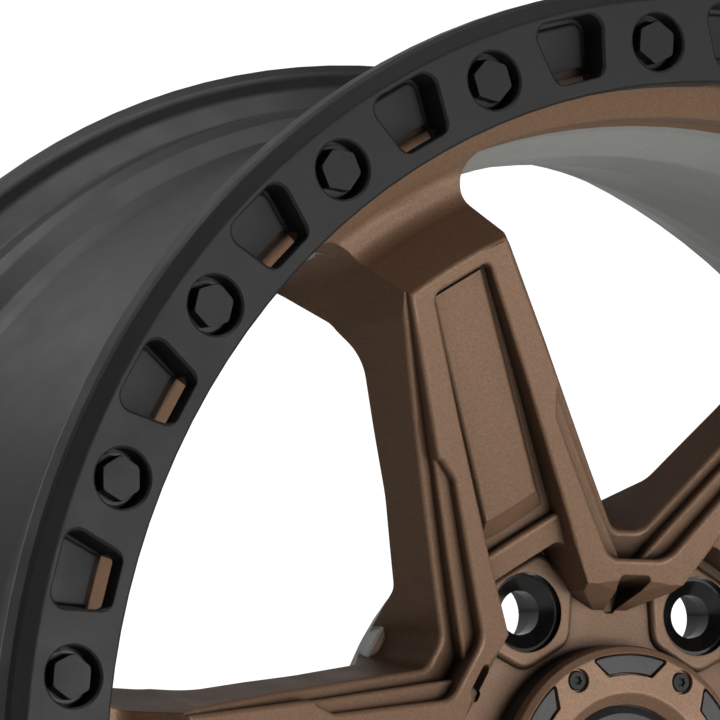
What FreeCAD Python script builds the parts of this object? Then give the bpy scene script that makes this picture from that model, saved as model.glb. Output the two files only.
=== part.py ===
import FreeCAD, Part
import os, math
from FreeCAD import Vector as V

os.makedirs("parts", exist_ok=True)

# ---------------------------------------------------------------- driving dimensions (mm)
# Wheel axis is Y, the face looks to -Y. Depths below are measured from the front plane of the
# outer ring towards the back; everything is moved at the end so that the origin is the centre of
# the hub mounting pad.
N_SPOKE = 6
PAD_Y = 113.0            # depth of the hub mounting pad
SEAT_R = 256.4           # bead seat radius (20 inch rim)
FLANGE_R = 273.9         # flange radius
RIM_BACK = 262.0         # depth of the rear edge
FLANGE_FRONT_Y = 20.4    # inner side of the front flange
FLANGE_REAR_Y = 249.0    # inner side of the rear flange (228.6 mm apart: 9 inch)
PCD = 139.7              # lug circle
LUG_HOLE_R = 7.8
LUG_MOUTH_R = 14.0
LUG_SEAT_Y = 88.6
HUB_FACE_Y = 89.0
HUB_R = 100.0            # hub disc at the back
BORE_R = 54.0            # centre bore from the back
BORE_FRONT_R = 46.0      # narrower bore at the front, takes the cap
VALVE_R = 5.65
VALVE_ANG = 30.0         # degrees from +X, in the middle of a window

# spoke face: cone y = TOP_A - TOP_B * r
TOP_A, TOP_B = 100.2, 0.4065
TOP_END_R = 201.5
LEDGE_0, LEDGE_K = 3.0, 0.08     # lower ledge: offset grows towards the hub

RING_T = 14.0
LIP_R = 246.6            # inner edge of the casting's front face, behind the ring
RING_IN_R = 239.4
RING_OUT_R = 274.4
RING_BOLT_R = 254.0
N_BOLT = 24
CBORE_R = 9.9
CBORE_Y = 8.0
HEX_AF = 13.0
HEAD_Y0, HEAD_Y1 = 1.0, 6.4
WASHER_R = 8.5
POCKET_FLOOR_Y = 11.4
RELIEF_Y = 7.8           # back of the ring behind a slot

CAP_R = 49.5
CAP_TOP_Y = 74.0
CAP_SCREW_R = 42.3

AX0, AXY = V(0, 0, 0), V(0, 1, 0)


# ---------------------------------------------------------------- helpers
def rounded_wire(pts, y=0.0):
    """closed wire in the plane Y=y from (x, z, radius) points, corners rounded with arcs"""
    n = len(pts)
    P = [V(p[0], y, p[1]) for p in pts]
    R = [(p[2] if len(p) > 2 else 0.0) for p in pts]
    starts, ends, mids = [], [], []
    for i in range(n):
        a, b, c = P[i - 1], P[i], P[(i + 1) % n]
        if R[i] <= 1e-6:
            starts.append(b); ends.append(b); mids.append(None)
            continue
        u = (a - b).normalize()
        w = (c - b).normalize()
        ang = u.getAngle(w)
        d = R[i] / math.tan(ang / 2)
        s, e = b + u * d, b + w * d
        bis = (u + w).normalize()
        ctr = b + bis * (R[i] / math.sin(ang / 2))
        starts.append(s); ends.append(e); mids.append(ctr - bis * R[i])
    edges = []
    for i in range(n):
        if mids[i] is not None:
            edges.append(Part.Arc(starts[i], mids[i], ends[i]).toShape())
        j = (i + 1) % n
        if (starts[j] - ends[i]).Length > 1e-6:
            edges.append(Part.LineSegment(ends[i], starts[j]).toShape())
    return Part.Wire(edges)


def prism(pts, y0, y1):
    return Part.Face(rounded_wire(pts, y0)).extrude(V(0, y1 - y0, 0))


def taper_prism(pts0, y0, pts1, y1):
    return Part.makeLoft([rounded_wire(pts0, y0), rounded_wire(pts1, y1)], True, True)


def rev_wire(pts):
    """closed profile in the XY plane from (r, y, radius) points"""
    n = len(pts)
    P = [V(p[0], p[1], 0) for p in pts]
    R = [(p[2] if len(p) > 2 else 0.0) for p in pts]
    starts, ends, mids = [], [], []
    for i in range(n):
        a, b, c = P[i - 1], P[i], P[(i + 1) % n]
        if R[i] <= 1e-6:
            starts.append(b); ends.append(b); mids.append(None)
            continue
        u = (a - b).normalize()
        w = (c - b).normalize()
        ang = u.getAngle(w)
        d = R[i] / math.tan(ang / 2)
        bis = (u + w).normalize()
        ctr = b + bis * (R[i] / math.sin(ang / 2))
        starts.append(b + u * d); ends.append(b + w * d); mids.append(ctr - bis * R[i])
    edges = []
    for i in range(n):
        if mids[i] is not None:
            edges.append(Part.Arc(starts[i], mids[i], ends[i]).toShape())
        j = (i + 1) % n
        if (starts[j] - ends[i]).Length > 1e-6:
            edges.append(Part.LineSegment(ends[i], starts[j]).toShape())
    return Part.Wire(edges)


def revolve(pts, a0=0.0, sweep=360.0):
    """solid of revolution about Y; a0 = start angle measured from +X towards +Z"""
    s = Part.Face(rev_wire(pts)).revolve(AX0, AXY, -sweep)
    if a0:
        s.rotate(AX0, AXY, -a0)
    return s


def turn(shape, deg):
    """copy turned about the wheel axis, from +X towards +Z"""
    s = shape.copy()
    s.rotate(AX0, AXY, -deg)
    return s


def cyl(r, y0, y1, x=0.0, z=0.0):
    return Part.makeCylinder(r, y1 - y0, V(x, y0, z), AXY)


def cone(r0, y0, r1, y1, x=0.0, z=0.0):
    return Part.makeCone(r0, r1, y1 - y0, V(x, y0, z), AXY)


def top_y(r, off=0.0):
    return TOP_A + off - TOP_B * r


def try_fillet(shape, picker, radii, name):
    """round the edges that picker chooses; falls back to smaller radii, then edge by edge"""
    es = [e for e in shape.Edges if picker(e)]
    if not es:
        print("fillet", name, "no edges"); return shape
    for r in radii:
        try:
            s = shape.makeFillet(r, es)
            if s.isValid() and s.Volume > 0 and abs(s.Volume - shape.Volume) < 0.05 * shape.Volume:
                print("fillet", name, len(es), "edges r", r)
                return s.Solids[0] if len(s.Solids) == 1 else s
        except Exception:
            pass
    print("fillet", name, "left sharp", len(es))
    return shape


def radius(p):
    return math.hypot(p.x, p.z)


def mid(e):
    return e.valueAt(0.5 * (e.FirstParameter + e.LastParameter))


def on_cut(e):
    """the edge lies in one of the two planes that bound the sixth"""
    return all(abs(abs(math.atan2(p.x, p.z)) - H) < 1e-4 for p in [v.Point for v in e.Vertexes] + [mid(e)])


def cone_faces(shape, a, b, least=20.0):
    """faces that lie on the cone y = a - b * r"""
    return [f for f in shape.Faces if f.Area > least and all(abs(v.Y - (a - b * radius(v.Point))) < 0.02 for v in f.Vertexes)]


def round_edges(shape, es, radii, name):
    """round these edges, with the first radius that gives a sound solid"""
    for r in radii:
        try:
            s = shape.makeFillet(r, es)
            if s.isValid() and len(s.Solids) == 1 and abs(s.Volume - shape.Volume) < 0.05 * shape.Volume:
                print("round", name, len(es), "edges r", r)
                return s.Solids[0]
        except Exception:
            pass
    print("round", name, "left sharp", len(es))
    return shape


def round_each(shape, pick, radii, name):
    """round the picked edges one after the other, and leave sharp those that do not go"""
    done = 0
    for e in [e for e in shape.Edges if pick(e)]:
        m, l = mid(e), e.Length
        now = [q for q in shape.Edges if abs(q.Length - l) < 1.0 and (mid(q) - m).Length < 0.6]
        if not now:
            continue
        t = round_edges(shape, now[:1], radii, name)
        if t is not shape:
            done += 1
            shape = t
    return shape


# ---------------------------------------------------------------- the casting, one sixth
# The sector holds one spoke along +Z, half of each window on both sides.
H = math.radians(30)


def mirror_valley(p):
    """mirror a point (x, z) in the valley line"""
    dx, dz = math.sin(H), math.cos(H)
    d = p[0] * dx + p[1] * dz
    return (2 * d * dx - p[0], 2 * d * dz - p[1])


def valley_outline(side, valley_r, r_valley, r_list):
    """closed outline of what lies between two spokes: side = points along one spoke edge
    (from the outside in), ended by the flat of the valley at valley_r"""
    left = list(side)
    # meeting point of the last run of the edge with the flat of the valley
    (x0, z0), (x1, z1) = left[-2], left[-1]
    dx, dz = math.sin(H), math.cos(H)
    d0, d1 = x0 * dx + z0 * dz, x1 * dx + z1 * dz
    t = (valley_r - d0) / (d1 - d0)
    left[-1] = (x0 + t * (x1 - x0), z0 + t * (z1 - z0))
    pts = [(p[0], p[1], r) for p, r in zip(left, r_list[:-1] + [r_valley])]
    right = [mirror_valley(p) for p in left]
    pts += [(p[0], p[1], r) for p, r in zip(reversed(right), [r_valley] + list(reversed(r_list[:-1])))]
    return pts


# spoke edges on the right side of the spoke: (half width, distance along the spoke)
EDGE_TOP_OUT = [(20.2, 214.0), (21.5, 201.5), (27.6, 145.3)]
EDGE_TOP_IN = [(23.4, 133.0), (28.9, 80.0)]
EDGE_L1 = [(27.7, 141.2), (35.9, 75.0)]
EDGE_WIN = [(23.6, 215.0), (24.3, 195.0), (29.8, 159.0), (40.4, 81.0)]


def rim_profile():
    p = [
        (LIP_R, RING_T, 0.6),
        (272.4, RING_T, 1.0),
        (272.4, FLANGE_FRONT_Y - 0.2, 2.4),
        (262.5, FLANGE_FRONT_Y + 0.4, 5.5),
        (SEAT_R, FLANGE_FRONT_Y + 9.0, 4.0),
        (SEAT_R - 1.3, FLANGE_FRONT_Y + 23.0, 3.0),
        (SEAT_R + 0.4, FLANGE_FRONT_Y + 30.0, 4.0),
        (SEAT_R - 3.0, FLANGE_FRONT_Y + 38.0, 5.0),
        (231.5, 78.0, 14.0),
        (231.5, 116.0, 30.0),
        (244.5, 205.0, 20.0),
        (247.5, 211.5, 3.0),
        (SEAT_R - 2.2, 219.0, 5.0),
        (SEAT_R + 1.0, 226.0, 4.0),
        (SEAT_R - 1.0, 231.5, 4.0),
        (SEAT_R, FLANGE_REAR_Y - 7.5, 4.5),
        (264.5, FLANGE_REAR_Y + 0.3, 6.0),
        (FLANGE_R - 3.5, FLANGE_REAR_Y + 2.5, 5.0),
        (FLANGE_R + 0.3, 256.5, 3.2),
        (FLANGE_R - 1.5, RIM_BACK, 3.0),
        (264.0, RIM_BACK, 5.0),
        (251.4, 257.5, 6.0),
        (240.5, 222.0, 30.0),
        (234.0, 196.0, 40.0),
        (222.5, 118.0, 30.0),
        (222.0, 80.0, 14.0),
        (228.6, 56.0, 6.0),
        (229.6, 49.5, 2.2),
        (232.9, 43.0, 1.6),
    ]
    return p


def spoke_profile():
    """half section through a spoke and the hub, front line first"""
    return [
        (BORE_FRONT_R, HUB_FACE_Y, 0.0),
        (58.0, HUB_FACE_Y, 0.0),
        (72.0, top_y(72.0), 0.0),
        (TOP_END_R, top_y(TOP_END_R), 0.0),
        (217.0, 38.8, 7.0),
        (226.0, 38.4, 7.0),
        (241.4, 25.2, 0.0),
        (248.0, 25.2, 0.0),
        (244.0, 50.0, 0.0),
        (227.5, 78.0, 0.0),
        (227.5, 104.0, 0.0),
        (224.0, 98.6, 0.0),
        (200.5, 62.2, 10.0),
        (187.0, 53.0, 14.0),
        (140.0, 72.0, 60.0),
        (110.0, 88.6, 8.0),
        (103.4, 103.0, 4.0),
        (HUB_R, PAD_Y - 2.5, 0.0),
        (HUB_R, PAD_Y, 0.0),
        (BORE_R, PAD_Y, 0.0),
        (BORE_R, PAD_Y - 8.8, 0.0),
        (50.0, PAD_Y - 8.8, 0.0),
        (50.0, HUB_FACE_Y + 3.0, 0.0),
        (BORE_FRONT_R, HUB_FACE_Y + 3.0, 0.0),
    ]


def cone_front(a0, a1, r0, r1, yfar=-60.0, a_start=60.0, sweep=60.0):
    """everything in front of the cone y = a0 - a1*r between r0 and r1, in the sector"""
    return revolve([(r0, yfar), (r1, yfar), (r1, a0 - a1 * r1), (r0, a0 - a1 * r0)], a_start, sweep)


# the sector's body
spoke = revolve(spoke_profile(), 60.0, 60.0)

# lower ledge: cut everything in front of it, outside the outline of the upper steps
l2a, l2b = TOP_A + LEDGE_0 + LEDGE_K * 200.0, TOP_B + LEDGE_K
l1a, l1b = TOP_A + 0.5 * (LEDGE_0 + LEDGE_K * 200.0), TOP_B + 0.5 * LEDGE_K



def far(p, q, l):
    """the line q->p carried on to distance l along the spoke"""
    t = (l - q[1]) / (p[1] - q[1])
    return (q[0] + t * (p[0] - q[0]), l)


S2_OUT = far(EDGE_TOP_OUT[1], EDGE_TOP_OUT[2], 300.0)
edge2 = [S2_OUT, EDGE_TOP_OUT[2], EDGE_L1[0], EDGE_L1[1]]
ed2 = valley_outline(edge2, 112.0, 0.0, [0.0, 1.2, 1.0, 0.0])
ed3 = valley_outline([far(EDGE_L1[0], EDGE_L1[1], 139.0), EDGE_L1[1]], 74.0, 0.0, [0.0, 0.0])

# upper ledge on the inner half of the spoke
ed1 = valley_outline([(60.0, 151.4), (26.7, 142.4), EDGE_TOP_IN[0], EDGE_TOP_IN[1]], 79.4, 9.0, [0.0, 2.0, 3.0, 9.0])

# the window, right through; its walls lean, so a spoke is wider at the back
WIN_TAPER = 0.19                              # growth of the half width per mm of depth
WIN_LEVEL = [107.0, 24.3, 41.8, 79.8]         # depth at which the half width is that of EDGE_WIN


def win_outline(y):
    side = [far(EDGE_WIN[0], EDGE_WIN[1], 300.0)] + list(EDGE_WIN[1:])
    side = [(p[0] + WIN_TAPER * (y - l), p[1]) for p, l in zip(side, WIN_LEVEL)]
    return [V(p[0], y, p[1]) for p in valley_outline(side, 89.4 + 0.28 * (y - 75.7), 0.0, [0.0, 0.0, 0.0, 0.0])]


def frustum(a, b):
    """solid with flat sides between two outlines of as many points"""
    n = len(a)
    faces = [Part.Face(Part.makePolygon(q + q[:1])) for q in (a, b)]
    for k in range(n):
        q = [a[k], a[(k + 1) % n], b[(k + 1) % n], b[k]]
        faces.append(Part.Face(Part.makePolygon(q + q[:1])))
    s = Part.Solid(Part.Shell(faces))
    if s.Volume < 0:
        s.reverse()
    return s


def win_solid(r_out, rad, rad_in, y0, y1):
    """the tapered window, bounded outside by a true cylinder"""
    s = frustum(win_outline(y0), win_outline(y1))
    print("window", s.isValid(), round(s.Volume))
    s = s.common(cyl(r_out, y0 - 1, y1 + 1)).Solids[0]
    # round the two outer corners, then the two of the valley
    long_ = [e for e in s.Edges if e.BoundBox.YLength > (y1 - y0) - 0.5]
    s = s.makeFillet(rad, [e for e in long_ if radius(mid(e)) > r_out - 0.5])
    long_ = [e for e in s.Edges if e.BoundBox.YLength > (y1 - y0) - 0.5]
    s = s.makeFillet(rad_in, [e for e in long_ if radius(mid(e)) < 125.0])
    print("window", s.isValid(), len(s.Solids), round(s.Volume))
    return s


win_r = win_solid(231.0, 13.0, 6.4, 8.0, 116.0)


def mir(shape):
    return shape.mirror(V(0, 0, 0), V(1, 0, 0))


far_front = cone_front(l2a, l2b, 60.0, 213.0, -60.0, 20.0, 80.0)
c1 = prism(ed1, -60.0, 110.0).common(cone_front(l1a, l1b, 60.0, 160.0, -60.0, 20.0, 80.0))
# outer run of the lower ledge, then the inner run, which ends at the wall of the face in the valley
c2 = prism(ed2, -60.0, 110.0).common(far_front)
c3 = prism(ed3, -60.0, 110.0).common(prism(ed1, -60.0, 110.0)).common(far_front)
print("cutters", [(c.isValid(), len(c.Solids), round(c.Volume)) for c in (c1, c2, c3, win_r)])
wedge = revolve([(20.0, -100.0), (300.0, -100.0), (300.0, 320.0), (20.0, 320.0)], 60.0, 60.0)
for c in (c1, c2, c3):
    spoke = spoke.cut([c, mir(c)])
spoke = spoke.common(wedge).Solids[0]
top = max(cone_faces(spoke, TOP_A, TOP_B), key=lambda f: f.Area)
spoke = round_edges(spoke, [e for e in top.Edges if not on_cut(e) and radius(mid(e)) > 76.0], [1.4, 1.0, 0.7], "face outline")
es = []
for f in cone_faces(spoke, l1a, l1b):
    es += [e for e in f.Edges if not on_cut(e) and e.Length > 20.0 and abs(mid(e).x) > 25.6 + (133.0 - mid(e).z) * 0.104]
spoke = round_edges(spoke, es, [1.2, 0.9, 0.6], "upper ledge")
spoke = spoke.cut([win_r, mir(win_r)]).Solids[0]
es = []
for f in cone_faces(spoke, l2a, l2b):
    for e in f.Edges:
        m = mid(e)
        w_win = 29.8 + (159.0 - m.z) * (0.1528 if m.z > 159.0 else 0.1359)
        if not on_cut(e) and m.z < 198.0 and (abs(abs(m.x) - w_win) < 0.8 or radius(m) < 95.0 and m.x * math.sin(H) * (1 if m.x > 0 else -1) + m.z * math.cos(H) > 88.6):
            es.append(e)
spoke = round_edges(spoke, es, [1.6, 1.2, 0.8], "lower ledge")
print("spoke", spoke.isValid(), len(spoke.Solids), round(spoke.Volume))

# panel pocket in the spoke's face
PK_TOP, PK_BOT = 196.2, 62.0
pk = [(-12.3, PK_TOP, 3.0), (12.3, PK_TOP, 3.0), (15.2, 150.0, 0.0), (17.6, 96.0, 0.0), (17.6, 60.0, 0.0),
      (-17.6, 60.0, 0.0), (-17.6, 96.0, 0.0), (-15.2, 150.0, 0.0)]
pk_floor = cone_front(TOP_A + 5.2 + 0.062 * 195.0, TOP_B + 0.062, 60.0, 215.0, -60.0, 60.0, 60.0)
pocket = prism(pk, -60.0, 120.0).common(pk_floor)
# raised panel inside the pocket, with sloping sides
isl0 = [(-13.6, PK_TOP - 1.6, 2.0), (13.6, PK_TOP - 1.6, 2.0), (14.0, 150.0, 0.0), (15.2, 103.4, 3.0),
        (-15.2, 103.4, 3.0), (-14.0, 150.0, 0.0)]
isl_band = cone_front(TOP_A + 3.9 + 0.03 * 195.0, TOP_B + 0.03, 60.0, 215.0, -60.0, 60.0, 60.0)
isl_prism = prism(isl0, -60.0, 130.0)
island = isl_prism.cut(isl_band).common(pk_floor)


def floor_y(r):
    return TOP_A + 5.2 + 0.062 * 195.0 - (TOP_B + 0.062) * r


def slope_cut(a, b, lean, far_side):
    """what lies outside a plane through the line a-b that leans inwards towards the front"""
    up = lean * 30.0
    pts = [a, b, b + up, a + up]
    out = far_side * 40.0
    return Part.makeLoft([Part.makePolygon(pts + pts[:1]), Part.makePolygon([q + out for q in pts] + [pts[0] + out])], True, True)


ISL_W0, ISL_W1 = 11.4, 14.6      # half width of the panel's foot, outer and inner end
for sgn in (1, -1):
    a_ = V(sgn * ISL_W0, floor_y(200.0), 200.0)
    b_ = V(sgn * ISL_W1, floor_y(100.0), 100.0)
    island = island.cut(slope_cut(a_, b_, V(-sgn * math.sin(math.radians(34)), -math.cos(math.radians(34)), 0.0), V(sgn, 0, 0)))
a_, b_ = V(-20.0, floor_y(103.4), 103.4), V(20.0, floor_y(103.4), 103.4)
island = island.cut(slope_cut(a_, b_, V(0, -math.cos(math.radians(44)), math.sin(math.radians(44))), V(0, 0, -1)))
island = island.Solids[0]
es = [e for f in cone_faces(island, TOP_A + 3.9 + 0.03 * 195.0, TOP_B + 0.03) for e in f.Edges if mid(e).z < 192.0]
island = round_edges(island, es, [1.6, 1.2, 0.8], "panel")
# strip between the panel and the lug recess
strip0 = [(-20.0, 99.6, 0.0), (20.0, 99.6, 0.0), (20.0, 60.0, 0.0), (-20.0, 60.0, 0.0)]
strip = prism(strip0, -60.0, 130.0).cut(isl_band).common(pk_floor)
strip = strip.common(prism(pk, -60.0, 130.0))
es = [e for f in cone_faces(strip, TOP_A + 3.9 + 0.03 * 195.0, TOP_B + 0.03) for e in f.Edges if mid(e).z > 95.0 and abs(mid(e).x) < 10.0]
strip = round_edges(strip.Solids[0], es, [1.6, 1.0], "strip")
pocket = pocket.cut([island, strip])
spoke = spoke.cut(pocket).Solids[0]
top = max(cone_faces(spoke, TOP_A, TOP_B), key=lambda f: f.Area)
es = [e for e in top.Edges if not on_cut(e) and abs(mid(e).x) < 18.5 and 92.0 < mid(e).z < 197.5]
spoke = round_edges(spoke, es, [1.2, 0.9, 0.6], "pocket mouth")

# lug recess: opens the pocket down to the hub face round the lug seat
lr = PCD / 2
rec = [(-17.6, 89.4, 5.0), (17.6, 89.4, 5.0), (18.6, 68.0, 0.0), (33.0, 44.0, 0.0), (-33.0, 44.0, 0.0), (-18.6, 68.0, 0.0)]
recess = prism(rec, -60.0, HUB_FACE_Y)
spoke = spoke.cut(recess)

# hub face round the cap
spoke = spoke.cut(cyl(60.0, -60.0, HUB_FACE_Y))

# sloping end of the bridge between two lugs
for s in (1, -1):
    dx, dz = math.sin(H) * s, math.cos(H)
    prof = [V(0, -60, 0), V(0, 0, 0)]
    a_ = V(dx * 70.4, top_y(70.4) - 0.4, dz * 70.4)
    b_ = V(dx * 62.0, HUB_FACE_Y, dz * 62.0)
    lat = V(dz, 0, -dx)
    p0 = a_ - lat * 40
    p1 = b_ - lat * 40
    p2 = V(dx * 40, HUB_FACE_Y, dz * 40) - lat * 40
    p3 = V(dx * 40, -60, dz * 40) - lat * 40
    p4 = V(dx * 70.4, -60, dz * 70.4) - lat * 40
    f = Part.Face(Part.makePolygon([p0, p1, p2, p3, p4, p0]))
    spoke = spoke.cut(f.extrude(lat * 80))

# lug boss, its seat and the stud hole
boss_pts = [(-16.5, 86.0, 6.0), (16.5, 86.0, 6.0), (21.5, 68.0, 7.0), (10.5, 51.8, 8.0), (-10.5, 51.8, 8.0), (-21.5, 68.0, 7.0)]
BOSS_Y = HUB_FACE_Y - 2.6
boss = prism(boss_pts, BOSS_Y, HUB_FACE_Y + 3.0)
boss = try_fillet(boss, lambda e: abs(e.BoundBox.YMin - BOSS_Y) < 1e-3 and e.BoundBox.YLength < 1e-3, [2.2, 1.6, 1.0], "boss")
spoke = spoke.fuse(boss)
spoke = spoke.cut(cyl(LUG_MOUTH_R, 40.0, LUG_SEAT_Y, 0, lr))
spoke = spoke.cut(cone(12.6, LUG_SEAT_Y, LUG_HOLE_R, LUG_SEAT_Y + 2.8, 0, lr))
spoke = spoke.cut(cyl(LUG_HOLE_R, 60.0, PAD_Y + 5, 0, lr))
# stud clearance from the back leaves a short hole
spoke = spoke.cut(cyl(12.0, LUG_SEAT_Y + 9.4, PAD_Y + 5, 0, lr))

# recess in the bridge between two lugs
trap0 = [(-8.6, 75.4, 2.4), (8.6, 75.4, 2.4), (2.1, 59.6, 1.9), (-2.1, 59.6, 1.9)]
trap1 = [(-5.0, 70.4, 1.6), (5.0, 70.4, 1.6), (1.9, 61.0, 1.5), (-1.9, 61.0, 1.5)]
for s in (1, -1):
    dx, dz = math.sin(H) * s, math.cos(H)
    lx, lz = dz, -dx
    o0 = [(dx * q + lx * p, dz * q + lz * p, r) for p, q, r in trap0]
    o1 = [(dx * q + lx * p, dz * q + lz * p, r) for p, q, r in trap1]
    spoke = spoke.cut(taper_prism(o0, 60.0, o1, HUB_FACE_Y + 1.6))

print("spoke", spoke.isValid(), len(spoke.Solids), round(spoke.Volume))

# weight-saving core behind each spoke
core = [(-15.5, 184.0, 8.0), (15.5, 184.0, 8.0), (21.5, 112.0, 9.0), (-21.5, 112.0, 9.0)]
core_s = prism(core, 0.0, 140.0).cut(cone_front(TOP_A + 22.0, TOP_B, 60.0, 240.0, -60.0, 60.0, 60.0))
spoke = spoke.cut(core_s)

# the hub's back disc flares out behind the windows
spoke = spoke.fuse(revolve([(82.0, 97.0), (88.6, 97.0), (HUB_R - 4.0, PAD_Y - 10.6), (HUB_R - 0.8, PAD_Y - 10.2, 0.0), (HUB_R, PAD_Y - 9.4), (HUB_R, PAD_Y), (82.0, PAD_Y)], 60.0, 60.0))

# trim to the sixth
spoke = spoke.common(wedge)
if len(spoke.Solids) > 1:
    spoke = max(spoke.Solids, key=lambda s: s.Volume)
print("sector", spoke.isValid(), len(spoke.Solids), round(spoke.Volume))

star = turn(spoke, 30).fuse([turn(spoke, 30 + 60 * k) for k in range(1, N_SPOKE)])
try:
    star = star.removeSplitter()
except Exception as ex:
    print("splitter", ex)
print("star", star.isValid(), len(star.Solids), round(star.Volume))

rim = revolve(rim_profile())
print("rim", rim.isValid(), round(rim.Volume))
casting = rim.fuse(star)
try:
    casting = casting.removeSplitter()
except Exception as ex:
    print("splitter", ex)
print("casting", casting.isValid(), len(casting.Solids), round(casting.Volume))

# threaded holes for the ring's bolts
holes = []
for k in range(N_BOLT):
    a = math.radians(7.5 + 15 * k)
    holes.append(cyl(4.05, 10.0, 19.6, RING_BOLT_R * math.cos(a), RING_BOLT_R * math.sin(a)))
casting = casting.cut(holes)

# valve hole through the front slope of the drop centre
va = math.radians(VALVE_ANG)
vdir = V(math.cos(va), 0.0, math.sin(va))
vd = (vdir * math.cos(math.radians(20)) + V(0, -math.sin(math.radians(20)), 0))
VALVE_P = vdir * 238.0 + V(0, 66.0, 0)          # middle of the wall
VALVE_WALL = 7.0
seat_in = Part.makeCylinder(10.0, 40.0, VALVE_P - vd * (40.0 + VALVE_WALL / 2), vd)
seat_out = Part.makeCylinder(10.0, 40.0, VALVE_P + vd * (VALVE_WALL / 2), vd)
casting = casting.cut([Part.makeCylinder(VALVE_R, 60.0, VALVE_P - vd * 30, vd), seat_in, seat_out])
print("casting", casting.isValid(), len(casting.Solids), round(casting.Volume))
if len(casting.Solids) > 1:
    casting = max(casting.Solids, key=lambda s: s.Volume)

# ---------------------------------------------------------------- outer ring
ring = revolve([
    (RING_IN_R + 0.9, 0.0, 0.0), (268.6, 0.0, 2.0), (RING_OUT_R - 0.7, 3.0, 1.2), (RING_OUT_R, 5.2, 1.0),
    (RING_OUT_R, RING_T - 0.8, 0.6), (RING_OUT_R - 0.8, RING_T, 0.0), (RING_IN_R + 1.0, RING_T, 0.0),
    (RING_IN_R, RING_T - 1.0, 0.0), (RING_IN_R, 0.9, 0.0)])

pk_out = [(-9.2, 245.2, 4.0), (9.2, 245.2, 4.0), (14.0, 266.4, 5.0), (-14.0, 266.4, 5.0)]
pk_in = [(-8.6, 247.6, 1.0), (8.6, 247.6, 1.0), (12.0, 264.6, 3.6), (-12.0, 264.6, 3.6)]
slot = [(-8.6, 244.7, 2.2), (8.6, 244.7, 2.2), (9.3, 249.3, 2.2), (-9.3, 249.3, 2.2)]
one_pocket = prism(pk_out, -5.0, 12.8)
one_pocket = try_fillet(one_pocket, lambda e: e.BoundBox.YLength < 1e-3 and abs(e.BoundBox.YMin - 12.8) < 1e-3, [0.8], "pocket floor")
one_land = prism(pk_in, POCKET_FLOOR_Y, 13.4)
one_land = try_fillet(one_land, lambda e: e.BoundBox.YLength < 1e-3 and abs(e.BoundBox.YMin - POCKET_FLOOR_Y) < 1e-3, [1.2, 0.8], "pocket land")
one_pocket = one_pocket.cut(one_land)
one_slot = prism(slot, -5.0, RING_T + 5.0)
# behind each slot the ring's inner edge stands clear of the casting
behind = prism([(-9.0, 236.0), (9.0, 236.0), (9.2, 247.2), (-9.2, 247.2)], RELIEF_Y, RING_T + 5.0)
one = one_pocket.fuse(one_slot)
# soft rim of the pocket's mouth
lip = taper_prism([(p[0] * 1.10, 255.8 + (p[1] - 255.8) * 1.09, p[2] + 0.8) for p in pk_out], -0.2,
                  [(p[0], p[1], p[2]) for p in pk_out], 0.9)
cuts = []
for k in range(N_BOLT):
    cuts.append(turn(one, 15 * k - 90))
    cuts.append(turn(lip, 15 * k - 90))
    cuts.append(turn(behind, 15 * k - 90))
ring = ring.cut(cuts)
hc = []
for k in range(N_BOLT):
    a = math.radians(7.5 + 15 * k)
    x, z = RING_BOLT_R * math.cos(a), RING_BOLT_R * math.sin(a)
    hc.append(cyl(CBORE_R, -5.0, CBORE_Y, x, z))
    hc.append(cone(CBORE_R + 0.8, -0.1, CBORE_R, 0.7, x, z))
    hc.append(cyl(4.5, -5.0, RING_T + 5.0, x, z))
ring = ring.cut(hc)
print("ring", ring.isValid(), len(ring.Solids), round(ring.Volume))

# ---------------------------------------------------------------- ring bolts and washers
def hex_pts(af, rot, cx, cz):
    rc = af / math.sqrt(3)
    return [(cx + rc * math.cos(rot + math.radians(60 * i)), cz + rc * math.sin(rot + math.radians(60 * i)), 0.0) for i in range(6)]


# each head stopped at its own angle when it was tightened
TURNS = [12, 47, 5, 33, 52, 21, 26, 48, 54, 16, 31, 26, 3, 49, 24, 44, 10, 58, 30, 18, 38, 1, 51, 14]
bolts, washers = [], []
for k in range(N_BOLT):
    a = math.radians(7.5 + 15 * k)
    x, z = RING_BOLT_R * math.cos(a), RING_BOLT_R * math.sin(a)
    head = prism(hex_pts(HEX_AF, math.radians(TURNS[k]), x, z), HEAD_Y0, HEAD_Y1)
    trim = cone(6.95, HEAD_Y0 - 0.001, 7.9, HEAD_Y0 + 0.5, x, z).fuse(cyl(7.9, HEAD_Y0 + 0.5, HEAD_Y1 + 1, x, z))
    head = head.common(trim)
    shank = cyl(3.95, HEAD_Y1 - 0.5, 19.0, x, z)
    bolts.append(head.fuse(shank).removeSplitter())
    w = cyl(WASHER_R, HEAD_Y1, CBORE_Y, x, z).cut(cyl(4.3, 0, 20, x, z))
    w = try_fillet(w, lambda e: abs(e.BoundBox.YMin - HEAD_Y1) < 1e-3 and e.BoundBox.YLength < 1e-3 and e.BoundBox.XLength > 12, [0.35], "washer") if k < 1 else w
    washers.append(w)

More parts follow.
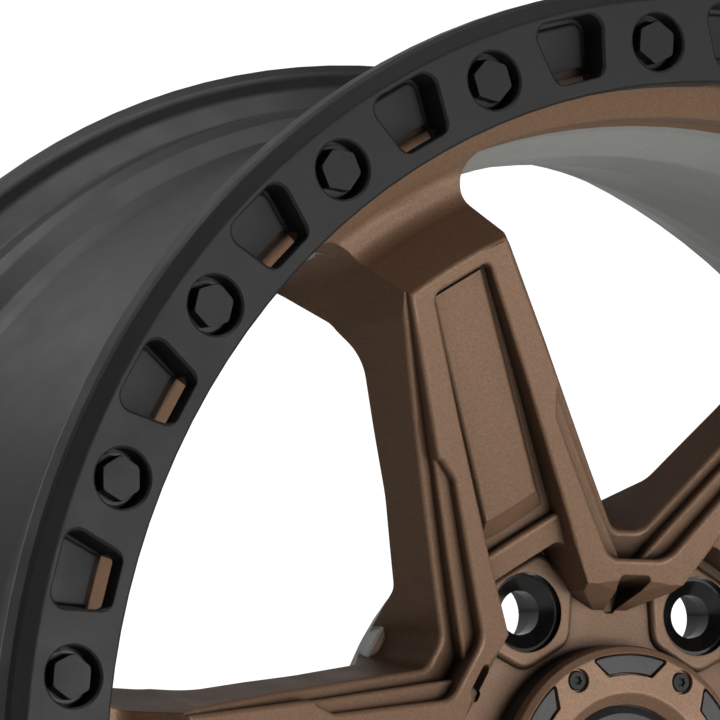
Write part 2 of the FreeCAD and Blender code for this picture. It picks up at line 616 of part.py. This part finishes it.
# ---------------------------------------------------------------- centre cap
cap_cover = revolve([
    (28.6, CAP_TOP_Y + 3.2, 0.8), (32.6, CAP_TOP_Y - 0.2, 2.0), (46.6, CAP_TOP_Y, 1.6), (CAP_R - 0.6, CAP_TOP_Y + 1.6, 1.2),
    (CAP_R, CAP_TOP_Y + 4.2, 0.6), (CAP_R, CAP_TOP_Y + 6.0, 0.0), (28.6, CAP_TOP_Y + 6.0, 0.0)])
cap_base = revolve([
    (0.0, CAP_TOP_Y + 6.0, 0.0), (CAP_R - 0.5, CAP_TOP_Y + 6.0, 0.0), (CAP_R, CAP_TOP_Y + 7.0, 0.0), (CAP_R, HUB_FACE_Y, 0.0),
    (BORE_FRONT_R - 0.4, HUB_FACE_Y, 0.0), (BORE_FRONT_R - 0.4, HUB_FACE_Y + 3.2, 0.0), (BORE_FRONT_R + 0.8, HUB_FACE_Y + 3.8, 0.0),
    (BORE_FRONT_R - 0.8, HUB_FACE_Y + 5.0, 0.0), (BORE_FRONT_R - 3.6, HUB_FACE_Y + 5.0, 0.0), (BORE_FRONT_R - 3.6, CAP_TOP_Y + 9.0, 1.5),
    (0.0, CAP_TOP_Y + 9.0, 0.0)])
# slits that leave spring fingers
for k in range(12):
    b = Part.makeBox(3.0, 3.5, 8.0, V(-1.5, HUB_FACE_Y + 2.6, BORE_FRONT_R - 6.0))
    cap_base = cap_base.cut(turn(b, 30 * k))
groove = revolve([(BORE_FRONT_R - 1.8, HUB_FACE_Y + 0.5), (BORE_FRONT_R + 1, HUB_FACE_Y + 0.5), (BORE_FRONT_R + 1, HUB_FACE_Y + 2.1), (BORE_FRONT_R - 1.8, HUB_FACE_Y + 2.1)])
cap_base = cap_base.cut(groove)
seal = Part.makeTorus(BORE_FRONT_R - 0.9, 0.75, V(0, HUB_FACE_Y + 1.3, 0), AXY)

disc = revolve([(0.0, CAP_TOP_Y + 2.6, 0.0), (19.6, CAP_TOP_Y + 2.6, 0.5), (21.4, CAP_TOP_Y + 3.6, 0.5), (25.6, CAP_TOP_Y + 3.6, 0.6),
                (28.2, CAP_TOP_Y + 5.0, 0.5), (28.2, CAP_TOP_Y + 6.0, 0.0), (0.0, CAP_TOP_Y + 6.0, 0.0)])

ins, scr = [], []
for k in range(6):
    ctr = 90.0 + 60 * k       # an insert on each of these angles, a screw half way
    def arc_piece(r0, r1, half0, half1, y0, y1):
        """four-sided arc piece: half angle half0 at the inside radius, half1 at the outside"""
        def pt(r, a):
            return V(r * math.cos(math.radians(ctr + a)), y0, r * math.sin(math.radians(ctr + a)))
        e1 = Part.Arc(pt(r1, -half1), pt(r1, 0), pt(r1, half1)).toShape()
        e2 = Part.LineSegment(pt(r1, half1), pt(r0, half0)).toShape()
        e3 = Part.Arc(pt(r0, half0), pt(r0, 0), pt(r0, -half0)).toShape()
        e4 = Part.LineSegment(pt(r0, -half0), pt(r1, -half1)).toShape()
        return Part.Face(Part.Wire([e1, e2, e3, e4])).extrude(V(0, y1 - y0, 0))
    rec_ = arc_piece(38.9, 46.6, 13.2, 19.6, CAP_TOP_Y - 3, CAP_TOP_Y + 3.6)
    rec_ = try_fillet(rec_, lambda e: e.BoundBox.YLength > 6.0, [1.0], "insert recess") if k >= 0 else rec_
    cap_cover = cap_cover.cut(rec_)
    p = arc_piece(39.5, 46.2, 12.3, 18.6, CAP_TOP_Y + 0.4, CAP_TOP_Y + 3.6)
    p = try_fillet(p, lambda e: e.BoundBox.YLength > 3.0, [0.8], "insert sides")
    p = try_fillet(p, lambda e: e.BoundBox.YLength < 1e-3 and abs(e.BoundBox.YMin - CAP_TOP_Y - 0.4) < 1e-3, [0.6, 0.4], "insert top")
    ins.append(p)
    a = math.radians(ctr + 30)
    x, z = CAP_SCREW_R * math.cos(a), CAP_SCREW_R * math.sin(a)
    cap_cover = cap_cover.cut([cyl(4.2, CAP_TOP_Y - 3, CAP_TOP_Y + 2.2, x, z), cyl(1.6, CAP_TOP_Y, CAP_TOP_Y + 8, x, z)])
    cap_base = cap_base.cut(cyl(1.5, CAP_TOP_Y + 5, CAP_TOP_Y + 8.4, x, z))
    head = cyl(3.4, CAP_TOP_Y + 0.5, CAP_TOP_Y + 2.2, x, z)
    head = try_fillet(head, lambda e: e.BoundBox.YLength < 1e-3 and abs(e.BoundBox.YMin - CAP_TOP_Y - 0.5) < 1e-3, [0.5], "screw head")
    star_pts = []
    for i in range(12):
        rr = 1.8 if i % 2 == 0 else 1.15
        aa = math.radians(30 * i + 11 * k)
        star_pts.append((x + rr * math.cos(aa), z + rr * math.sin(aa), 0.0))
    head = head.cut(prism(star_pts, CAP_TOP_Y - 1, CAP_TOP_Y + 1.7))
    scr.append(head.fuse(cyl(1.45, CAP_TOP_Y + 2.0, CAP_TOP_Y + 8.0, x, z)).removeSplitter())
print("cap", cap_cover.isValid(), len(cap_cover.Solids), cap_base.isValid(), len(cap_base.Solids))

# ---------------------------------------------------------------- export
SHIFT = V(0, -PAD_Y, 0)


def out(name, shape):
    s = shape.copy()
    s.translate(SHIFT)
    s.exportStep("parts/%s.step" % name)
    bb = s.BoundBox
    print(name, s.isValid(), len(s.Solids), "vol", round(s.Volume / 1000.0, 1), "cm3 box", [round(v, 1) for v in (bb.XMin, bb.YMin, bb.ZMin, bb.XMax, bb.YMax, bb.ZMax)])


out("wheel_casting", casting)
out("outer_ring", ring)
out("ring_bolts", Part.makeCompound(bolts))
out("ring_bolt_washers", Part.makeCompound(washers))
out("cap_base", cap_base)
out("cap_cover", cap_cover)
out("cap_inserts", Part.makeCompound(ins))
out("cap_screws", Part.makeCompound(scr))
out("cap_disc", disc)
out("cap_seal", seal)
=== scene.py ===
import bpy, math
from mathutils import Matrix, Vector


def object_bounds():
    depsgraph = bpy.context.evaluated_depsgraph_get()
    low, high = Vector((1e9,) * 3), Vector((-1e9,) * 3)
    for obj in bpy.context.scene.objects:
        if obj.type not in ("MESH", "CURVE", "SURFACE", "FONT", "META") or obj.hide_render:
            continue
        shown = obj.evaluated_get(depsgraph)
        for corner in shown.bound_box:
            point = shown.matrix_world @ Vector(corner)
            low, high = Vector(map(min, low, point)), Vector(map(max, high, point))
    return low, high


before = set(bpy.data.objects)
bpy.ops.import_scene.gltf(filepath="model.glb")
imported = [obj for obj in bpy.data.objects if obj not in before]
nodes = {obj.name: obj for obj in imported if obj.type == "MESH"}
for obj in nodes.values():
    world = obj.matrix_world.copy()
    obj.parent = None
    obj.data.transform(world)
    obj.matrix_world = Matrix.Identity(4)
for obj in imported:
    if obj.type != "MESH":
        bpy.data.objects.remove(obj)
cad_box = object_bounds()
scene = bpy.context.scene

PAD = 0.113          # depth of the hub pad behind the ring's front plane, metres


# ---------------------------------------------------------------- small node helpers
def new_mat(name):
    m = bpy.data.materials.new(name)
    m.use_nodes = True
    nt = m.node_tree
    b = nt.nodes["Principled BSDF"]
    return m, nt, b


def node(nt, kind, **kw):
    n = nt.nodes.new(kind)
    for k, v in kw.items():
        setattr(n, k, v)
    return n


def noise(nt, vec, scale, detail=2.0, rough=0.5):
    n = node(nt, "ShaderNodeTexNoise")
    n.inputs["Scale"].default_value = scale
    n.inputs["Detail"].default_value = detail
    n.inputs["Roughness"].default_value = rough
    nt.links.new(vec, n.inputs["Vector"])
    return n.outputs["Fac"]


def ramp(nt, fac, stops):
    r = node(nt, "ShaderNodeValToRGB")
    els = r.color_ramp.elements
    while len(els) < len(stops):
        els.new(0.5)
    for e, (p, c) in zip(els, stops):
        e.position = p
        e.color = (c[0], c[1], c[2], 1.0) if hasattr(c, "__len__") else (c, c, c, 1.0)
    nt.links.new(fac, r.inputs["Fac"])
    return r.outputs["Color"]


def remap(nt, fac, a, b, lo, hi):
    m = node(nt, "ShaderNodeMapRange")
    m.inputs["From Min"].default_value = a
    m.inputs["From Max"].default_value = b
    m.inputs["To Min"].default_value = lo
    m.inputs["To Max"].default_value = hi
    nt.links.new(fac, m.inputs["Value"])
    return m.outputs["Result"]


def bump(nt, height, strength, distance, normal=None):
    b = node(nt, "ShaderNodeBump")
    b.inputs["Strength"].default_value = strength
    b.inputs["Distance"].default_value = distance
    nt.links.new(height, b.inputs["Height"])
    if normal is not None:
        nt.links.new(normal, b.inputs["Normal"])
    return b.outputs["Normal"]


def paint(name, dark, mid, light, rough, metallic, grain, grain_bump, spec=0.5, coat=0.0, coat_rough=0.3, blotch=0.04, bevel=0.0,
          painted_shade_reach=0.0):
    """powder-coat finish: fine grain in the colour, soft blotches, roughness that varies, a fine surface bump"""
    m, nt, b = new_mat(name)
    tc = node(nt, "ShaderNodeTexCoord")
    vec = tc.outputs["Object"]
    fine = noise(nt, vec, grain, 2.0, 0.6)
    big = noise(nt, vec, 22.0, 3.0, 0.5)
    mix = node(nt, "ShaderNodeMath", operation="MULTIPLY_ADD")
    nt.links.new(big, mix.inputs[0])
    mix.inputs[1].default_value = blotch
    nt.links.new(fine, mix.inputs[2])
    col = ramp(nt, mix.outputs[0], [(0.30, dark), (0.50 + blotch * 0.5, mid), (0.74, light)])
    if painted_shade_reach:
        # painted shade: the base colour is darkened where ambient occlusion finds corners and grooves, standing in
        # for the shade that falls there
        ao = node(nt, "ShaderNodeAmbientOcclusion")
        ao.samples = 6
        ao.inputs["Distance"].default_value = painted_shade_reach
        painted_shade = ramp(nt, ao.outputs["AO"], [(0.25, 0.10), (0.62, 0.62), (0.88, 1.0)])
        mm = node(nt, "ShaderNodeMix", data_type="RGBA", blend_type="MULTIPLY")
        mm.inputs["Factor"].default_value = 1.0
        nt.links.new(col, mm.inputs[6])
        nt.links.new(painted_shade, mm.inputs[7])
        col = mm.outputs[2]
    nt.links.new(col, b.inputs["Base Color"])
    rg = noise(nt, vec, 60.0, 3.0, 0.55)
    nt.links.new(remap(nt, rg, 0.3, 0.7, rough - 0.05, rough + 0.05), b.inputs["Roughness"])
    b.inputs["Metallic"].default_value = metallic
    b.inputs["Specular IOR Level"].default_value = spec
    if coat:
        b.inputs["Coat Weight"].default_value = coat
        b.inputs["Coat Roughness"].default_value = coat_rough
    peel = noise(nt, vec, grain * 0.55, 2.0, 0.5)
    nrm = None
    if bevel:
        bv = node(nt, "ShaderNodeBevel")
        bv.samples = 6
        bv.inputs["Radius"].default_value = bevel
        nrm = bv.outputs["Normal"]
    nt.links.new(bump(nt, peel, grain_bump, 0.0002, nrm), b.inputs["Normal"])
    return m


# the bronze carries painted shade: its base colour is darkened in corners and grooves by ambient occlusion
BRONZE = paint("bronze_satin", (0.150, 0.086, 0.052), (0.190, 0.112, 0.069), (0.232, 0.140, 0.089),
               0.48, 0.30, 1500.0, 0.22, spec=0.30, bevel=0.0008, painted_shade_reach=0.016)
CAP_BRONZE = paint("cap_bronze_satin", (0.160, 0.092, 0.056), (0.202, 0.120, 0.075), (0.246, 0.150, 0.096),
                   0.46, 0.30, 1500.0, 0.20, spec=0.32, bevel=0.0004)
BLACK = paint("ring_black_satin", (0.0135, 0.0135, 0.014), (0.017, 0.017, 0.0175), (0.021, 0.021, 0.0215),
              0.50, 0.0, 1300.0, 0.14, spec=0.23, bevel=0.0005)
BARREL = paint("barrel_black_satin", (0.024, 0.024, 0.0245), (0.030, 0.030, 0.0305), (0.036, 0.036, 0.0365),
               0.42, 0.0, 1100.0, 0.12, spec=0.45)
INNER = paint("inner_barrel_grey", (0.31, 0.316, 0.302), (0.36, 0.366, 0.35), (0.41, 0.416, 0.40),
              0.36, 0.30, 1000.0, 0.10)
SEAT = paint("seat_black_gloss", (0.003, 0.003, 0.003), (0.005, 0.005, 0.005), (0.008, 0.008, 0.008),
             0.16, 0.0, 900.0, 0.05)
BOLT = paint("bolt_black", (0.010, 0.010, 0.0105), (0.0135, 0.0135, 0.014), (0.018, 0.018, 0.0185),
             0.48, 0.0, 1400.0, 0.12, spec=0.22, bevel=0.0003)
WASHER = paint("washer_black", (0.005, 0.005, 0.005), (0.008, 0.008, 0.008), (0.012, 0.012, 0.012),
               0.40, 0.0, 1400.0, 0.12, spec=0.30)
PLASTIC = paint("plastic_black", (0.012, 0.012, 0.013), (0.018, 0.018, 0.019), (0.026, 0.026, 0.027),
                0.42, 0.0, 1800.0, 0.20, spec=0.40)
RUBBER = paint("seal_rubber_black", (0.010, 0.010, 0.010), (0.015, 0.015, 0.015), (0.021, 0.021, 0.021),
               0.62, 0.0, 1600.0, 0.25)


# ---------------------------------------------------------------- finishes on the nodes
def single(name, mat):
    o = nodes[name]
    o.data.materials.clear()
    o.data.materials.append(mat)
    for p in o.data.polygons:
        p.material_index = 0


single("outer_ring", BLACK)
single("ring_bolts", BOLT)
single("ring_bolt_washers", WASHER)
single("cap_base", PLASTIC)
single("cap_cover", CAP_BRONZE)
single("cap_inserts", PLASTIC)
single("cap_screws", BOLT)
single("cap_disc", PLASTIC)
single("cap_seal", RUBBER)

# the casting: bronze face and spokes, black barrel, gloss black in the lug seats
w = nodes["wheel_casting"]
w.data.materials.clear()
for m in (BRONZE, BARREL, SEAT, INNER):
    w.data.materials.append(m)
LUG = 0.13970 / 2
for p in w.data.polygons:
    c = p.center
    n = p.normal
    r = math.hypot(c.x, c.z)
    y = c.y + PAD
    y_far = max(w.data.vertices[i].co.y for i in p.vertices) + PAD
    radial = (c.x * n.x + c.z * n.z) / max(r, 1e-9)
    idx = 0
    if y < 0.0146 and n.y < -0.5:
        idx = 0
    elif r > 0.2205 and 0.0497 < y and y_far < 0.2549 and radial < -0.5:
        idx = 3
    elif r > 0.2295 and y > 0.0497:
        idx = 1
    elif r > 0.2500 or (r > 0.2475 and radial > 0.2):
        idx = 1
    elif (y > 0.1096 and 0.050 < r < 0.101) or (y > 0.1020 and 0.0970 < r < 0.1006 and radial > 0.5):
        idx = 3
    else:
        for k in range(6):
            a = math.radians(60 * k)
            if math.hypot(c.x - LUG * math.cos(a), c.z - LUG * math.sin(a)) < 0.01410 and 0.060 < y < 0.1126:
                idx = 2
    p.material_index = idx


# ---------------------------------------------------------------- floor, light
FLOOR_Z = cad_box[0].z
bpy.ops.mesh.primitive_plane_add(size=14.0, location=(0, 0, FLOOR_Z - 0.0005))
floor = bpy.context.object
floor.name = "floor"
fm, fnt, fb = new_mat("floor_pale")
ftc = node(fnt, "ShaderNodeTexCoord")
fcol = ramp(fnt, noise(fnt, ftc.outputs["Object"], 3.0, 3.0), [(0.3, (0.80, 0.80, 0.79)), (0.7, (0.83, 0.83, 0.82))])
fnt.links.new(fcol, fb.inputs["Base Color"])
fb.inputs["Roughness"].default_value = 0.7
floor.data.materials.append(fm)

world = bpy.data.worlds.new("studio")
scene.world = world
world.use_nodes = True
wt = world.node_tree
for n in list(wt.nodes):
    wt.nodes.remove(n)
wo = node(wt, "ShaderNodeOutputWorld")
tc = node(wt, "ShaderNodeTexCoord")


def lobe(direction, power, gain):
    """soft bright patch of sky round a direction"""
    d = node(wt, "ShaderNodeVectorMath", operation="DOT_PRODUCT")
    v = Vector(direction).normalized()
    d.inputs[1].default_value = v
    wt.links.new(tc.outputs["Generated"], d.inputs[0])
    c = node(wt, "ShaderNodeMath", operation="MAXIMUM")
    wt.links.new(d.outputs["Value"], c.inputs[0])
    c.inputs[1].default_value = 0.0
    q = node(wt, "ShaderNodeMath", operation="POWER")
    wt.links.new(c.outputs[0], q.inputs[0])
    q.inputs[1].default_value = power
    g = node(wt, "ShaderNodeMath", operation="MULTIPLY")
    wt.links.new(q.outputs[0], g.inputs[0])
    g.inputs[1].default_value = gain
    return g.outputs[0]


def add(*outs):
    cur = outs[0]
    for o in outs[1:]:
        a = node(wt, "ShaderNodeMath", operation="ADD")
        wt.links.new(cur, a.inputs[0])
        wt.links.new(o, a.inputs[1])
        cur = a.outputs[0]
    return cur


base = node(wt, "ShaderNodeValue")
base.outputs[0].default_value = 0.005
sky = add(base.outputs[0],
          lobe((0.10, 1.00, 0.06), 7.0, 1.10),     # white room straight behind
          lobe((-0.55, 0.45, 0.75), 4.0, 0.32),    # above, behind left
          lobe((0.85, -0.50, -0.10), 3.0, 0.12))   # right
bg_light = node(wt, "ShaderNodeBackground")
wt.links.new(sky, bg_light.inputs["Color"])
bg_light.inputs["Strength"].default_value = 1.0
bg_white = node(wt, "ShaderNodeBackground")
bg_white.inputs["Color"].default_value = (1.0, 1.0, 1.0, 1.0)
bg_white.inputs["Strength"].default_value = 1.1
lp = node(wt, "ShaderNodeLightPath")
mx = node(wt, "ShaderNodeMixShader")
wt.links.new(lp.outputs["Is Camera Ray"], mx.inputs[0])
wt.links.new(bg_light.outputs[0], mx.inputs[1])
wt.links.new(bg_white.outputs[0], mx.inputs[2])
wt.links.new(mx.outputs[0], wo.inputs["Surface"])


def area(name, loc, target, size, energy, color=(1, 1, 1), size_y=None):
    l = bpy.data.lights.new(name, "AREA")
    l.shape = "RECTANGLE" if size_y else "SQUARE"
    l.size = size
    if size_y:
        l.size_y = size_y
    l.energy = energy
    l.color = color
    o = bpy.data.objects.new(name, l)
    scene.collection.objects.link(o)
    o.location = loc
    o.visible_camera = False
    o.rotation_mode = "QUATERNION"
    o.rotation_quaternion = (Vector(target) - Vector(loc)).to_track_quat("-Z", "Y")
    return o


area("key", (1.70, -1.70, 0.02), (0, -0.03, 0), 1.2, 6.0, (1.0, 0.985, 0.965), 0.60)
area("front", (0.60, -2.80, -0.03), (0, -0.03, 0.03), 1.1, 27.0, (1.0, 0.99, 0.975), 0.50)
area("low_card", (0.32, -1.00, -0.20), (-0.05, -0.03, 0.06), 1.0, 4.4, (1.0, 0.99, 0.975), 0.14)
area("strip_left", (-1.9, -1.15, 0.55), (0, -0.03, 0.05), 0.12, 1.0, (1, 1, 1), 1.4)
area("top", (-0.2, -0.35, 2.0), (-0.1, 0.0, 0.0), 1.4, 14.0)
area("top_back", (-0.9, 1.1, 1.9), (-0.1, 0.05, 0.1), 1.2, 8.0)

# ---------------------------------------------------------------- camera, at the photograph's angle
AZ, EL, ROLL = math.radians(-28.3562465), math.radians(-4.47133017), math.radians(0.15582223)
back = Vector((math.sin(AZ) * math.cos(EL), -math.cos(AZ) * math.cos(EL), math.sin(EL)))
fwd = -back
right = fwd.cross(Vector((0, 0, 1))).normalized()
up = right.cross(fwd).normalized()
r2 = right * math.cos(ROLL) + up * math.sin(ROLL)
u2 = up * math.cos(ROLL) - right * math.sin(ROLL)
cd = bpy.data.cameras.new("camera")
cam = bpy.data.objects.new("camera", cd)
scene.collection.objects.link(cam)
cd.sensor_fit = "AUTO"
cd.sensor_width = 36.0
cd.lens = 6015.02 / 720.0 * 36.0
cd.clip_start, cd.clip_end = 0.05, 60.0
loc = Vector((-1.08599, -1.73779 - PAD, -0.01568))
cam.matrix_world = Matrix(((r2.x, u2.x, back.x, loc.x), (r2.y, u2.y, back.y, loc.y), (r2.z, u2.z, back.z, loc.z), (0, 0, 0, 1)))
scene.camera = cam

scene.view_settings.view_transform = "Standard"
scene.view_settings.look = "None"
scene.view_settings.exposure = 0.0
scene.view_settings.gamma = 1.0
